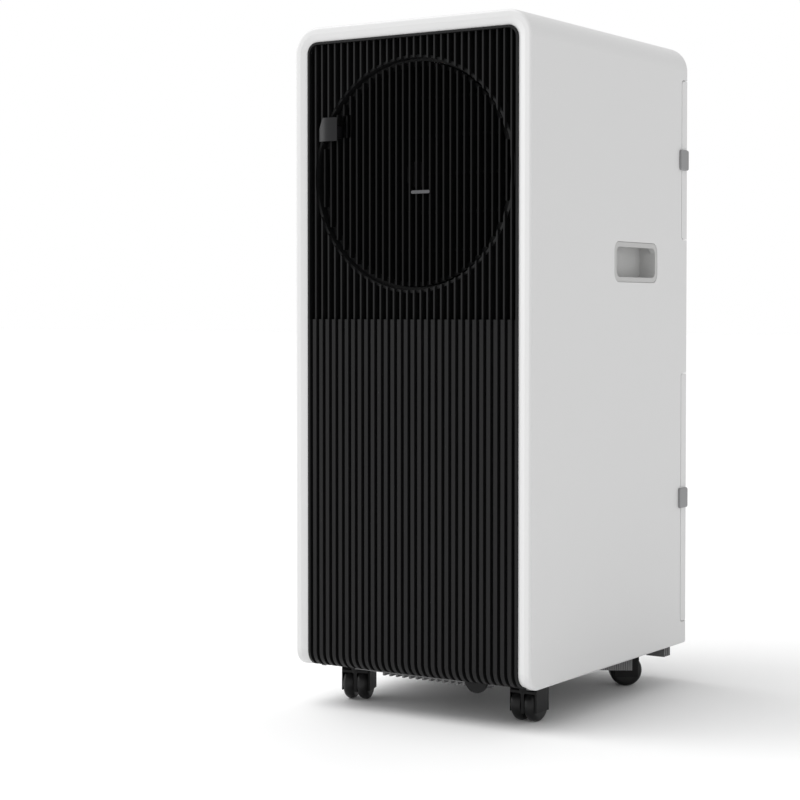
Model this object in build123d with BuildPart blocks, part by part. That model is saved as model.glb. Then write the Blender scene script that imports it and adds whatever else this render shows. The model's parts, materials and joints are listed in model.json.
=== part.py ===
"""Portable air conditioner: a slim tower on casters, in separate pieces.

The frame stands on the floor at z = 0 with the front facing -Y and the width along X.
All sizes are millimetres.
"""

from build123d import *
import math
import os

os.makedirs("parts", exist_ok=True)

# ---------------------------------------------------------------- casing
width = 280.0  # outside width of the casing
depth = 350.0  # outside depth of the casing
height = 700.0  # floor to the top of the casing
ground_gap = 41.5  # floor to the lower edge of the casing
wall = 2.5  # moulded wall
fit = 0.3  # gap between neighbouring mouldings
cover_gap = 1.0  # open seam round the filter covers
corner_radius = 27.0  # upper corners seen from the front
edge_round = 3.0  # rounding along every outer edge
toe_radius = 17.0  # lower front edge seen from the side
border = 15.0  # frame round the front
bevel_width = 8.0  # sloped inner part of that frame
bevel_depth = 2.2
lip_depth = 5.0  # thickness of the frame behind the bevel
rear_lip = 6.0  # flange under the sides
rear_border = 6.5  # casing left under the rear panel
front_y = -depth / 2
rear_y = depth / 2
half_width = width / 2
opening_half = half_width - border
opening_top = height - border
opening_radius = corner_radius - border
cut_over = 4.0  # how far cutting bodies run past a face

# ------------------------------------------------------------ front panel
rib_pitch = 8.0
rib_front = 0.8  # ribs stand this far behind the face of the frame
groove_count = 31
groove_depth = 4.2
groove_mouth = 4.0
groove_floor = 2.6
panel_skin = 7.0
panel_rim = 2.4
panel_rear = front_y + 25.0
split_z = 401.0  # wide ribs below, thin fins above
lug_x = 65.0
lug_radius = 13.0
lug_hole = 2.6
fin_width = 1.8
fin_front = front_y + 3.0
baffle_front = front_y + 17.0
baffle_rear = baffle_front + wall

# ------------------------------------------------------------ round outlet
outlet_z = 546.0
outlet_opening = 116.0
outlet_radius = 112.0
disc_front = front_y + 7.7
disc_fin_rear = front_y + 19.0
disc_rim_front = front_y + 14.0
disc_rear = front_y + 21.5
disc_rim_width = 4.0
tab_reach = 121.6
pivot_radius = 4.0
running_gap = 0.06

# ---------------------------------------------------------- rear and covers
cover_wrap = 16.0  # how far the covers reach round the sides
cover_corner = 5.0
upper_cover_z = (487.5, 662.7)
lower_cover_z = (66.0, 341.3)
inner_wall_front = rear_y - 29.0
inner_wall_rear = inner_wall_front + wall
rear_plate_front = rear_y - wall
tab_length = 19.5
tab_height = 22.0
tab_proud = 2.6
tab_start = rear_y - 22.0

# ------------------------------------------------------------------ exhaust
exhaust_z = 414.0
exhaust_bore = 62.5
collar_flange = 70.0

# ------------------------------------------------------------------ handles
handle_y = 49.0
handle_z = 460.5
handle_bezel = (100.0, 42.0)
handle_mouth = (90.0, 31.5)
handle_depth = 18.0
handle_wall = 2.0
handle_lip = 3.0  # bezel reaches this far behind the side wall, all round
hook_height = 5.0  # fingers hook behind the upper lip

# ------------------------------------------------------------------ casters
caster_x = 102.0
caster_y = 118.0
caster_trail = 8.0
wheel_radius = 17.5
wheel_edge_radius = 15.3
wheel_face_radius = 12.6
wheel_gap = 2.2  # from the middle of the caster to each wheel
wheel_half_span = 13.5
hood_inner = 18.4
hood_outer = 20.2
hood_half = 15.4
hood_reach = 14.2  # hood in front of and behind the axle
hood_low = 10.5
skirt_inside = 13.9
web_half = 1.8
axle_radius = 3.0
axle_half = 12.5
stem_radius = 4.0
stem_bottom = 36.4
stem_top = 66.0
socket_radius = 10.0
swivel_room = 35.0
pan_bottom = ground_gap + wall + fit
pan_floor = pan_bottom + 3.2
pan_rim = pan_floor + 8.0

# ------------------------------------------------------------ control panel
panel_size = (170.0, 58.0)
panel_y = -118.0
button_radius = 6.5
button_travel = 1.0
button_x = (0.0, 18.0, 36.0, 54.0, 72.0)
button_names = ("power", "mode", "fan", "cooler", "warmer")
display_size = (54.0, 26.0)
display_x = -48.0

# place of each caster and how far it is swivelled at rest, in degrees
casters = {
    "front_left": (-caster_x, -caster_y, 17.0),
    "front_right": (caster_x, -caster_y, 0.0),
    "rear_left": (-caster_x, caster_y, 48.0),
    "rear_right": (caster_x, caster_y, 123.0),
}


def save(piece, label):
    """Label a finished piece and write it as a STEP file."""
    piece.part.label = label
    export_step(piece.part, f"parts/{label}.step")


def facing(y):
    """Plane seen from the front, standing at y, with its local axes along X and Z."""
    return Plane.XZ.offset(-y)


def casing_block(side, front, rear, top, bottom, corner, toe, edge=0.0):
    """Rounded block of the casing with each face moved inwards by its own amount."""
    with BuildPart() as block:
        with BuildSketch(facing(front_y + front)):
            with Locations((0, (height - top + ground_gap + bottom) / 2)):
                Rectangle(width - 2 * side, height - top - ground_gap - bottom)
            fillet(vertices().group_by(Axis.Y)[-1], corner)
        extrude(amount=-(depth - front - rear))
        lower = edges().filter_by(Axis.X).group_by(Axis.Z)[0].sort_by(Axis.Y)
        fillet(lower[0], toe)
        if edge:
            rear_face = faces().sort_by(Axis.Y)[-1]
            front_face = faces().sort_by(Axis.Y)[0]
            outline = rear_face.edges() + front_face.edges().sort_by(Axis.Z)[1:]
            outline += edges().filter_by(Axis.Y).group_by(Axis.Z)[0]
            fillet(outline, edge)
    return block.part


def box_between(x, y, z, mode=Mode.ADD):
    """Box between two values along each axis, for use inside a part block."""
    with Locations(((x[0] + x[1]) / 2, (y[0] + y[1]) / 2, (z[0] + z[1]) / 2)):
        Box(x[1] - x[0], y[1] - y[0], z[1] - z[0], mode=mode)


def round_along_y(radius, y, x=0.0, z=0.0, mode=Mode.ADD):
    """Cylinder along Y between two values of y."""
    with Locations((x, (y[0] + y[1]) / 2, z)):
        Cylinder(radius, y[1] - y[0], rotation=(90, 0, 0), mode=mode)


def round_along_z(radius, z, x=0.0, y=0.0, mode=Mode.ADD):
    """Cylinder along Z between two values of z."""
    with Locations((x, y, (z[0] + z[1]) / 2)):
        Cylinder(radius, z[1] - z[0], mode=mode)


outer_block = casing_block(0, 0, 0, 0, 0, corner_radius, toe_radius, edge_round)
inner_block = casing_block(
    wall, lip_depth, wall, wall, wall, corner_radius - wall, toe_radius - lip_depth
)

# ============================================================ outer shell
with BuildPart() as outer_shell:
    add(outer_block)
    add(inner_block, mode=Mode.SUBTRACT)
    # opening for the front panel, carried round the toe
    with BuildSketch(facing(front_y - cut_over)):
        with Locations((0, opening_top / 2)):
            Rectangle(2 * opening_half, opening_top)
        fillet(vertices().group_by(Axis.Y)[-1], opening_radius)
    extrude(amount=-(cut_over + toe_radius + 3), mode=Mode.SUBTRACT)
    # opening under the base pan
    box_between(
        (-half_width + wall + rear_lip, half_width - wall - rear_lip),
        (front_y + toe_radius, rear_y - wall - rear_lip),
        (ground_gap - cut_over, ground_gap + wall + cut_over),
        mode=Mode.SUBTRACT,
    )
    # opening for the rear panel
    with BuildSketch(facing(rear_y - wall - cut_over)):
        with Locations((0, (opening_top + ground_gap + rear_border) / 2)):
            RectangleRounded(
                2 * opening_half, opening_top - ground_gap - rear_border, opening_radius
            )
    extrude(amount=-(wall + 2 * cut_over), mode=Mode.SUBTRACT)
    # notches for the covers that wrap round the rear corners
    for low, high in (upper_cover_z, lower_cover_z):
        with BuildSketch(Plane.YZ):
            with Locations((rear_y - cover_wrap / 2 + cut_over / 2, (low + high) / 2)):
                Rectangle(cover_wrap + cut_over, high - low)
            fillet(vertices().group_by(Axis.X)[0], cover_corner)
        extrude(amount=width, both=True, mode=Mode.SUBTRACT)
    # side openings for the finger recesses
    with BuildSketch(Plane.YZ):
        with Locations((handle_y, handle_z)):
            RectangleRounded(handle_bezel[0] + fit, handle_bezel[1] + fit, 10)
    extrude(amount=width, both=True, mode=Mode.SUBTRACT)
    # top opening for the controls
    with BuildSketch(Plane.XY.offset(height - wall - cut_over)):
        with Locations((0, panel_y)):
            RectangleRounded(panel_size[0] + fit, panel_size[1] + fit, 10)
    extrude(amount=wall + 2 * cut_over, mode=Mode.SUBTRACT)
    # sloped inner part of the frame, above the toe and then round it
    toe_z = ground_gap + toe_radius
    for inset, y in ((bevel_width, front_y), (0, front_y + bevel_depth)):
        with BuildSketch(facing(y)):
            with Locations((0, (opening_top + inset + toe_z) / 2)):
                Rectangle(2 * (opening_half + inset), opening_top + inset - toe_z)
            fillet(vertices().group_by(Axis.Y)[-1], opening_radius + inset)
    loft(mode=Mode.SUBTRACT)
    with BuildSketch(Plane.XY.offset(toe_z)):
        with BuildLine():
            Polyline(
                (opening_half, front_y),
                (opening_half + bevel_width, front_y),
                (opening_half, front_y + bevel_depth),
                close=True,
            )
        make_face()
        mirror(about=Plane.YZ)
    toe_axis = Axis((0, front_y + toe_radius, toe_z), (1, 0, 0))
    revolve(axis=toe_axis, revolution_arc=90, mode=Mode.SUBTRACT)
save(outer_shell, "outer_shell")

# ============================================================ front panel
panel_side = border + fit
panel_outer = casing_block(
    panel_side, rib_front, 0, panel_side, 0.5, opening_radius - fit, toe_radius - rib_front
)
panel_inner = casing_block(
    panel_side + panel_rim,
    rib_front + panel_skin,
    0,
    panel_side + panel_rim,
    0.5 + wall,
    opening_radius - fit - panel_rim,
    toe_radius - rib_front - panel_skin,
)
groove_x = [rib_pitch * (index - (groove_count - 1) / 2) for index in range(groove_count)]
fin_x = [x + rib_pitch / 2 for x in groove_x[:-1]]
window_top = opening_top - fit - panel_rim
window_half = opening_half - fit - panel_rim
window_middle = (split_z + window_top) / 2
window_height = window_top - split_z

with BuildPart() as grille:
    with Locations(*[(x, (fin_front + baffle_front) / 2, window_middle) for x in fin_x]):
        Box(fin_width, baffle_front - fin_front, window_height + 2)
    box_between(
        (-window_half - 1, window_half + 1),
        (baffle_front, baffle_rear),
        (split_z - 1, window_top + 1),
    )
    round_along_y(
        outlet_opening, (front_y, baffle_front), z=outlet_z, mode=Mode.SUBTRACT
    )
    round_along_y(outlet_opening + wall, (fin_front + 4, baffle_front), z=outlet_z)
    round_along_y(
        outlet_opening, (front_y, baffle_front), z=outlet_z, mode=Mode.SUBTRACT
    )
    round_along_y(
        outlet_radius + 1, (front_y, baffle_rear + 1), z=outlet_z, mode=Mode.SUBTRACT
    )

with BuildPart() as front_panel:
    add(panel_outer)
    add(panel_inner, mode=Mode.SUBTRACT)
    box_between(
        (-width, width),
        (panel_rear, rear_y + cut_over),
        (0, height),
        mode=Mode.SUBTRACT,
    )
    # window of the upper half
    with BuildSketch(facing(front_y)):
        with Locations((0, window_middle)):
            Rectangle(2 * window_half, window_height)
        fillet(vertices().group_by(Axis.Y)[-1], opening_radius - fit - panel_rim)
    extrude(amount=-(rib_front + panel_skin + 1), mode=Mode.SUBTRACT)
    # grooves between the wide ribs, carried round the toe
    with BuildSketch(Plane.XY.offset(toe_z)) as groove_plan:
        for x in groove_x:
            with BuildLine():
                Polyline(
                    (x - groove_mouth / 2, front_y),
                    (x + groove_mouth / 2, front_y),
                    (x + groove_floor / 2, front_y + rib_front + groove_depth),
                    (x - groove_floor / 2, front_y + rib_front + groove_depth),
                    close=True,
                )
            make_face()
    extrude(amount=split_z - toe_z, mode=Mode.SUBTRACT)
    revolve(groove_plan.sketch, axis=toe_axis, revolution_arc=90, mode=Mode.SUBTRACT)
    # lug under the lower edge
    with BuildSketch(facing(panel_rear - 2.5)):
        with Locations((lug_x, ground_gap + 1.5)):
            Circle(lug_radius)
            Circle(lug_hole, mode=Mode.SUBTRACT)
    extrude(amount=-2.5)
    add(grille.part)
save(front_panel, "front_panel")

# ============================================================ round outlet
with BuildPart() as outlet_disc:
    for x in fin_x:
        if abs(x) < outlet_radius - disc_rim_width / 2:
            half_chord = math.sqrt(outlet_radius**2 - x**2)
            box_between(
                (x - fin_width / 2, x + fin_width / 2),
                (disc_front, disc_fin_rear),
                (outlet_z - half_chord, outlet_z + half_chord),
            )
    for bar_z in (-76, -38, 0, 38, 76):
        half_chord = math.sqrt((outlet_radius - 2) ** 2 - bar_z**2)
        box_between(
            (-half_chord, half_chord),
            (disc_fin_rear - 3, disc_rear),
            (outlet_z + bar_z - 1.5, outlet_z + bar_z + 1.5),
        )
    with BuildSketch(facing(disc_rim_front)):
        with Locations((0, outlet_z)):
            Circle(outlet_radius)
            Circle(outlet_radius - disc_rim_width, mode=Mode.SUBTRACT)
    extrude(amount=-(disc_rear - disc_rim_front))
    round_along_y(13, (disc_rim_front, disc_rear + 2), z=outlet_z)
    round_along_y(
        pivot_radius + running_gap,
        (disc_rim_front + 3, disc_rear + cut_over),
        z=outlet_z,
        mode=Mode.SUBTRACT,
    )
    # finger notch beside the grip tab
    box_between(
        (-87.6, -75.4),
        (disc_front - 1, disc_rim_front - 1),
        (outlet_z + 40, outlet_z + 63),
        mode=Mode.SUBTRACT,
    )
    # seat of the tab's stem
    box_between(
        (-97.2, -90.8),
        (disc_front - 1, disc_rim_front),
        (outlet_z + 39.8, outlet_z + 52.2),
        mode=Mode.SUBTRACT,
    )
save(outlet_disc, "outlet_disc")

tab_back = fin_front - 0.4
with BuildPart() as outlet_tab:
    with BuildSketch(Plane.XY.offset(outlet_z + 37)):
        with BuildLine():
            Line((-111, tab_back), (-89, tab_back))
            ThreePointArc((-111, tab_back), (-100, front_y + 0.1), (-89, tab_back))
        make_face()
    extrude(amount=24)
    box_between(
        (-97, -91), (tab_back, disc_rim_front), (outlet_z + 40, outlet_z + 52)
    )
    round_along_y(
        tab_reach, (front_y - 1, disc_rear), z=outlet_z, mode=Mode.INTERSECT
    )
save(outlet_tab, "outlet_tab")

with BuildPart() as trim_bar:
    with BuildSketch(facing(disc_front)):
        with Locations((9.5, outlet_z - 18)):
            SlotOverall(22, 3.2)
    extrude(amount=0.9)
save(trim_bar, "trim_bar")

# ================================================================ cold side
shroud_front = panel_rear
shroud_flange = front_y + 71.0
shroud_ring = 104.0
with BuildPart() as fan_shroud:
    box_between((-134, 134), (shroud_flange, shroud_flange + wall), (430, 662))
    round_along_y(shroud_ring + 3, (shroud_front, shroud_flange), z=outlet_z)
    round_along_y(
        shroud_ring,
        (shroud_front - 1, shroud_flange + wall + 1),
        z=outlet_z,
        mode=Mode.SUBTRACT,
    )
    for angle in (45, 135, 225, 315):
        middle = Vector(62, 0, 0).rotate(Axis.Y, angle)
        with Locations(
            Location((middle.X, shroud_front + 2, outlet_z + middle.Z), (0, angle, 0))
        ):
            Box(88, 4, 7)
    round_along_y(20, (shroud_front, shroud_front + 7), z=outlet_z)
    round_along_y(pivot_radius, (disc_rear - 4, shroud_front + 1), z=outlet_z)
save(fan_shroud, "fan_shroud")

rotor_front = shroud_front + 12
rotor_rear = shroud_flange - 2
rotor_middle = (rotor_front + rotor_rear) / 2
rotor_radius = 100.0
rotor_hub = 26.0
blade_count = 7
blade_pitch = 32
with BuildPart() as fan_rotor:
    round_along_y(rotor_hub, (rotor_front, rotor_rear), z=outlet_z)
    for index in range(blade_count):
        turn = 360.0 / blade_count * index
        centre = Vector((rotor_hub + rotor_radius) / 2, 0, 0).rotate(Axis.Y, turn)
        with Locations(
            Location((centre.X, rotor_middle, outlet_z + centre.Z), (0, turn, 0))
        ):
            Box(rotor_radius - rotor_hub + 4, 2.2, 52, rotation=(blade_pitch, 0, 0))
    round_along_y(rotor_radius, (rotor_front, rotor_rear), z=outlet_z, mode=Mode.INTERSECT)
    round_along_y(
        pivot_radius, (rotor_front - 1, rotor_rear + 1), z=outlet_z, mode=Mode.SUBTRACT
    )
save(fan_rotor, "fan_rotor")

motor_front = shroud_flange + 8
motor_rear = motor_front + 60
motor_radius = 36.0
bearing_depth = 34.0
deck_top = 427.0
with BuildPart() as fan_motor:
    round_along_y(motor_radius, (motor_front, motor_rear), z=outlet_z)
    fillet(edges().filter_by(GeomType.CIRCLE), 5)
    round_along_y(14, (motor_front - 4, motor_front + 1), z=outlet_z)
    for x in (-28, 28):
        box_between(
            (x - 1.5, x + 1.5), (motor_front + 18, motor_front + 42), (deck_top, outlet_z - 20)
        )
    box_between((-42, 42), (motor_front + 12, motor_front + 48), (deck_top, deck_top + 4))
    round_along_y(
        pivot_radius + running_gap,
        (motor_front - 5, motor_front + bearing_depth),
        z=outlet_z,
        mode=Mode.SUBTRACT,
    )
save(fan_motor, "fan_motor")

with BuildPart() as fan_shaft:
    round_along_y(pivot_radius, (rotor_front, motor_front + bearing_depth - 2), z=outlet_z)
    chamfer(edges().filter_by(GeomType.CIRCLE), 0.6)
save(fan_shaft, "fan_shaft")


# ==================================================================== coils
coil_y = (108.0, 140.0)
coil_half = 115.0
tube_y = 124.0
tube_radius = 4.5
tube_bend_x = 115.5
fin_groove_pitch = 5.0


def coil_fins(low, high, tube_z):
    """Finned block of a coil with holes for its tubes."""
    with BuildPart() as block:
        box_between((-coil_half, coil_half), coil_y, (low, high))
        count = int(2 * coil_half / fin_groove_pitch) - 1
        for y in coil_y:
            with Locations((0, y, (low + high) / 2)):
                with GridLocations(fin_groove_pitch, 1, count, 1):
                    Box(3.2, 16, high - low - 8, mode=Mode.SUBTRACT)
        for z in tube_z:
            with Locations((0, tube_y, z)):
                Cylinder(
                    tube_radius + 0.05,
                    2 * coil_half + 2,
                    rotation=(0, 90, 0),
                    mode=Mode.SUBTRACT,
                )
    return block


def coil_tube(tube_z):
    """One serpentine tube that starts and ends on the left."""
    step = tube_z[1] - tube_z[0]
    with BuildPart() as tube:
        with BuildLine() as route:
            side = 1
            for index, z in enumerate(tube_z):
                Line((-side * tube_bend_x, tube_y, z), (side * tube_bend_x, tube_y, z))
                if index < len(tube_z) - 1:
                    ThreePointArc(
                        (side * tube_bend_x, tube_y, z),
                        (side * (tube_bend_x + step / 2), tube_y, z + step / 2),
                        (side * tube_bend_x, tube_y, z + step),
                    )
                side = -side
        with BuildSketch(Plane(origin=route.line @ 0, z_dir=route.line % 0)):
            Circle(tube_radius)
        sweep(path=route.line, transition=Transition.ROUND)
    return tube


evaporator_tube_z = [508.0 + 28.0 * index for index in range(6)]
condenser_tube_z = [88.0 + 32.0 * index for index in range(8)]
evaporator_fins = coil_fins(490, 662, evaporator_tube_z)
save(evaporator_fins, "evaporator_fins")
evaporator_tubes = coil_tube(evaporator_tube_z)
save(evaporator_tubes, "evaporator_tubes")
condenser_fins = coil_fins(70, 334, condenser_tube_z)
save(condenser_fins, "condenser_fins")
condenser_tubes = coil_tube(condenser_tube_z)
save(condenser_tubes, "condenser_tubes")

# ================================================================= hot side
scroll_x = 40.0
scroll_z = 225.0
scroll_y = (22.0, 90.0)
scroll_radius = 85.0
scroll_mouth_top = 347.0
inlet_radius = 54.0
with BuildPart() as blower_scroll:
    with BuildSketch(facing(scroll_y[0])):
        with Locations((scroll_x, scroll_z)):
            Circle(scroll_radius)
        with Locations((0, (scroll_z + scroll_mouth_top) / 2)):
            Rectangle(2 * (scroll_radius - scroll_x), scroll_mouth_top - scroll_z)
    extrude(amount=-(scroll_y[1] - scroll_y[0]))
    mouth = faces().filter_by(Axis.Z).sort_by(Axis.Z)[-1]
    offset(amount=-2, openings=mouth)
    round_along_y(
        inlet_radius,
        (scroll_y[1] - 4, scroll_y[1] + 1),
        scroll_x,
        scroll_z,
        mode=Mode.SUBTRACT,
    )
    round_along_y(
        16, (scroll_y[0] - 1, scroll_y[0] + 4), scroll_x, scroll_z, mode=Mode.SUBTRACT
    )
save(blower_scroll, "blower_scroll")

wheel_y = (32.0, 84.0)
blower_radius = 68.0
blower_blades = 30
with BuildPart() as blower_wheel:
    round_along_y(blower_radius, (wheel_y[0], wheel_y[0] + 2.5), scroll_x, scroll_z)
    with BuildSketch(facing(wheel_y[0])):
        with Locations((scroll_x, scroll_z)):
            with PolarLocations(blower_radius - 8, blower_blades):
                Rectangle(15, 1.6, rotation=35)
    extrude(amount=-(wheel_y[1] - wheel_y[0]))
    with BuildSketch(facing(wheel_y[1] - 3)):
        with Locations((scroll_x, scroll_z)):
            Circle(blower_radius)
            Circle(blower_radius - 14, mode=Mode.SUBTRACT)
    extrude(amount=-3)
    round_along_y(13, (wheel_y[0] - 6, wheel_y[0] + 16), scroll_x, scroll_z)
    round_along_y(
        pivot_radius, (wheel_y[0] - 7, wheel_y[0] + 18), scroll_x, scroll_z, mode=Mode.SUBTRACT
    )
save(blower_wheel, "blower_wheel")

blower_motor_y = (-40.0, 21.8)
with BuildPart() as blower_motor:
    round_along_y(motor_radius, (blower_motor_y[0], blower_motor_y[1] - 2), scroll_x, scroll_z)
    fillet(edges().filter_by(GeomType.CIRCLE), 5)
    round_along_y(42, (blower_motor_y[1] - 3, blower_motor_y[1]), scroll_x, scroll_z)
    round_along_y(
        pivot_radius + running_gap,
        (blower_motor_y[1] - bearing_depth, blower_motor_y[1] + 1),
        scroll_x,
        scroll_z,
        mode=Mode.SUBTRACT,
    )
save(blower_motor, "blower_motor")

with BuildPart() as blower_shaft:
    round_along_y(
        pivot_radius,
        (blower_motor_y[1] - bearing_depth + 2, wheel_y[0] + 16),
        scroll_x,
        scroll_z,
    )
    chamfer(edges().filter_by(GeomType.CIRCLE), 0.6)
save(blower_shaft, "blower_shaft")

duct_half = 67.0
duct_y = (20.0, inner_wall_front)
duct_z = (scroll_mouth_top, 481.0)
with BuildPart() as exhaust_duct:
    box_between((-duct_half, duct_half), duct_y, duct_z)
    fillet(edges().filter_by(Axis.X).group_by(Axis.Y)[0].group_by(Axis.Z)[-1], 40)
    box_between(
        (-duct_half + 2, duct_half - 2),
        (duct_y[0] + 2, duct_y[1] - 2),
        (duct_z[0] + 2, duct_z[1] - 30),
        mode=Mode.SUBTRACT,
    )
    box_between(
        (-43, 43), (scroll_y[0] + 2, scroll_y[1] - 2), (duct_z[0] - 1, duct_z[0] + 3),
        mode=Mode.SUBTRACT,
    )
    round_along_y(
        exhaust_bore + 1.5, (duct_y[1] - 60, duct_y[1] + 1), z=exhaust_z, mode=Mode.SUBTRACT
    )
save(exhaust_duct, "exhaust_duct")

with BuildPart() as exhaust_collar:
    round_along_y(collar_flange, (rear_plate_front, rear_y), z=exhaust_z)
    fillet(edges().group_by(Axis.Y)[-1], 1)
    round_along_y(exhaust_bore + wall, (inner_wall_rear, rear_plate_front), z=exhaust_z)
    round_along_y(
        exhaust_bore, (inner_wall_rear - 1, rear_y + 1), z=exhaust_z, mode=Mode.SUBTRACT
    )
save(exhaust_collar, "exhaust_collar")

# =============================================================== rear panel
plate_half = opening_half - fit
plate_z = (ground_gap + rear_border + fit, opening_top - fit)
screw_places = [(x, z) for x in (-112, 112) for z in (56.8, 414, 674)]
pocket_half = half_width - wall - 1
plug_place = (-60.0, 56.8)
gland_place = (96.0, 372.0)
plug_radius = 6.0
gland_radius = 9.0
with BuildPart() as rear_panel:
    with BuildSketch(facing(rear_plate_front)):
        with Locations((0, (plate_z[0] + plate_z[1]) / 2)):
            RectangleRounded(2 * plate_half, plate_z[1] - plate_z[0], opening_radius - fit)
    extrude(amount=-wall)
    for low, high in (upper_cover_z, lower_cover_z):
        box_between(
            (-width, width),
            (rear_plate_front - 1, rear_y + 1),
            (low - fit, high + fit),
            mode=Mode.SUBTRACT,
        )
    for low, high in (upper_cover_z, lower_cover_z):
        for shelf_low in (low - fit - wall, high + fit):
            box_between(
                (-plate_half, plate_half),
                (inner_wall_front, rear_plate_front),
                (shelf_low, shelf_low + wall),
            )
    box_between((-pocket_half, pocket_half), (inner_wall_front, inner_wall_rear), (58, 676))
    for low, high in ((500, 652), (78, 329)):
        for side in (-1, 1):
            box_between(
                sorted((side * 4, side * 108)),
                (inner_wall_front - 1, inner_wall_rear + 1),
                (low, high),
                mode=Mode.SUBTRACT,
            )
    round_along_y(
        exhaust_bore + 1.5,
        (inner_wall_front - 1, inner_wall_rear + 1),
        z=exhaust_z,
        mode=Mode.SUBTRACT,
    )
    round_along_y(
        collar_flange + fit,
        (rear_plate_front - 1, rear_y + 1),
        z=exhaust_z,
        mode=Mode.SUBTRACT,
    )
    with Locations(*[Location((x, rear_y, z), (-90, 0, 0)) for x, z in screw_places]):
        CounterBoreHole(1.7, 3.5, 1.4, depth=3)
    round_along_y(
        plug_radius + fit, (100, rear_y + 1), *plug_place, mode=Mode.SUBTRACT
    )
    round_along_y(
        gland_radius + 0.05,
        (rear_plate_front - 1, rear_y + 1),
        *gland_place,
        mode=Mode.SUBTRACT,
    )
save(rear_panel, "rear_panel")

with BuildPart() as casing_screws:
    for x, z in screw_places:
        round_along_y(3.2, (rear_y - 1.4, rear_y - 0.2), x, z)
        round_along_y(1.5, (rear_y - 10, rear_y - 1.3), x, z)
        with Locations((x, rear_y - 0.4, z)):
            Box(4.2, 0.8, 0.8, mode=Mode.SUBTRACT)
            Box(0.8, 0.8, 4.2, mode=Mode.SUBTRACT)
save(casing_screws, "casing_screws")

with BuildPart() as drain_plug:
    round_along_y(plug_radius, (rear_y - 12, rear_y - 1.5), *plug_place)
    round_along_y(plug_radius - 0.8, (rear_y - 1.6, rear_y - 0.3), *plug_place)
    with Locations((plug_place[0], rear_y - 0.8, plug_place[1])):
        Box(7, 1.2, 1.6, mode=Mode.SUBTRACT)
save(drain_plug, "drain_plug")

with BuildPart() as cord_gland:
    round_along_y(gland_radius, (rear_plate_front, rear_y - 0.2), *gland_place)
    round_along_y(gland_radius + 3, (rear_plate_front - 2.5, rear_plate_front), *gland_place)
    round_along_y(6, (rear_plate_front - 14, rear_plate_front - 2), *gland_place)
    round_along_y(
        3.6, (rear_plate_front - 20, rear_y + 1), *gland_place, mode=Mode.SUBTRACT
    )
save(cord_gland, "cord_gland")

# ==================================================================== covers
louvre_pitch = 9.0
louvre_gap = 4.0


def filter_cover(low, high):
    """Cover that wraps round both rear corners, with louvres at the back."""
    with BuildPart() as cover:
        add(outer_block)
        with BuildSketch(Plane.YZ) as keep:
            with Locations((rear_y - cover_wrap / 2 + cover_gap / 2 + 1, (low + high) / 2)):
                Rectangle(cover_wrap - cover_gap + 2, high - low - 2 * cover_gap)
            fillet(vertices().group_by(Axis.X)[0], cover_corner - cover_gap)
        extrude(amount=width, both=True, mode=Mode.INTERSECT)
        box_between(
            (-half_width + wall, half_width - wall),
            (rear_y - cover_wrap - 1, rear_plate_front),
            (low + cover_gap + wall, high - cover_gap - wall),
            mode=Mode.SUBTRACT,
        )
        count = int((high - low - 34) / louvre_pitch)
        with Locations((0, rear_y - wall / 2, (low + high) / 2)):
            with Locations(*[
                (x, 0, louvre_pitch * (index - (count - 1) / 2))
                for index in range(count)
                for x in (-78, 0, 78)
            ]):
                Box(66, wall + 2, louvre_gap, mode=Mode.SUBTRACT)
        for side in (-1, 1):
            box_between(
                sorted((side * 134, side * (half_width + 1))),
                (rear_y - 11, rear_y - 5),
                ((low + high) / 2 - 6, (low + high) / 2 + 6),
                mode=Mode.SUBTRACT,
            )
    return cover


def filter_screen(low, high):
    """Dust screen: a frame with bars and a thin screen, clipped inside its cover."""
    with BuildPart() as screen:
        box_between((-116, 116), (rear_y - 13, rear_y - 6), (low, high))
        for side in (-1, 1):
            for part_z in ((low + 7, (low + high) / 2 - 2), ((low + high) / 2 + 2, high - 7)):
                box_between(
                    sorted((side * 2, side * 110)),
                    (rear_y - 14, rear_y - 5),
                    part_z,
                    mode=Mode.SUBTRACT,
                )
        box_between((-112, 112), (rear_y - 10, rear_y - 9.2), (low + 3, high - 3))
        for x in (-113, 113):
            for z in (low + 12, high - 12):
                box_between((x - 2, x + 2), (rear_y - 6.5, rear_plate_front), (z - 6, z + 6))
    return screen


def pull_tabs(low, high):
    """Grey pull tabs, one on each side of a cover."""
    middle = (low + high) / 2
    with BuildPart() as tabs:
        with BuildSketch(Plane.YZ.offset(half_width + 0.15)):
            with Locations((tab_start + tab_length / 2, middle)):
                RectangleRounded(tab_length, tab_height, 2.5)
        extrude(amount=tab_proud - 0.15)
        chamfer(faces().sort_by(Axis.X)[-1].edges(), 0.6)
        box_between(
            (half_width - 5, half_width + 0.2),
            (rear_y - 11, rear_y - 5),
            (middle - 6, middle + 6),
        )
        mirror(about=Plane.YZ)
    return tabs


for place, (low, high) in (("upper", upper_cover_z), ("lower", lower_cover_z)):
    cover = filter_cover(low, high)
    save(cover, f"{place}_cover")
    screen = filter_screen(low + 9, high - 9)
    save(screen, f"{place}_filter")
    tabs = pull_tabs(low, high)
    save(tabs, f"{place}_tabs")

# ================================================================== mid deck
deck_half = half_width - wall - 1
deck_riser = -8.0
deck_rear_top = 487.0
with BuildPart() as mid_deck:
    box_between((-deck_half, deck_half), (panel_rear + fit, deck_riser), (deck_top - 3, deck_top))
    box_between(
        (-deck_half, deck_half), (deck_riser - wall, deck_riser), (deck_top - 3, deck_rear_top)
    )
    box_between(
        (-deck_half, deck_half),
        (deck_riser - wall, inner_wall_front - 1),
        (deck_rear_top - wall, deck_rear_top),
    )
    for x, y in ((-123, -20), (-123, 105)):
        round_along_z(5, (deck_top - 4, deck_rear_top + 1), x, y, mode=Mode.SUBTRACT)
save(mid_deck, "mid_deck")

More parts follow.
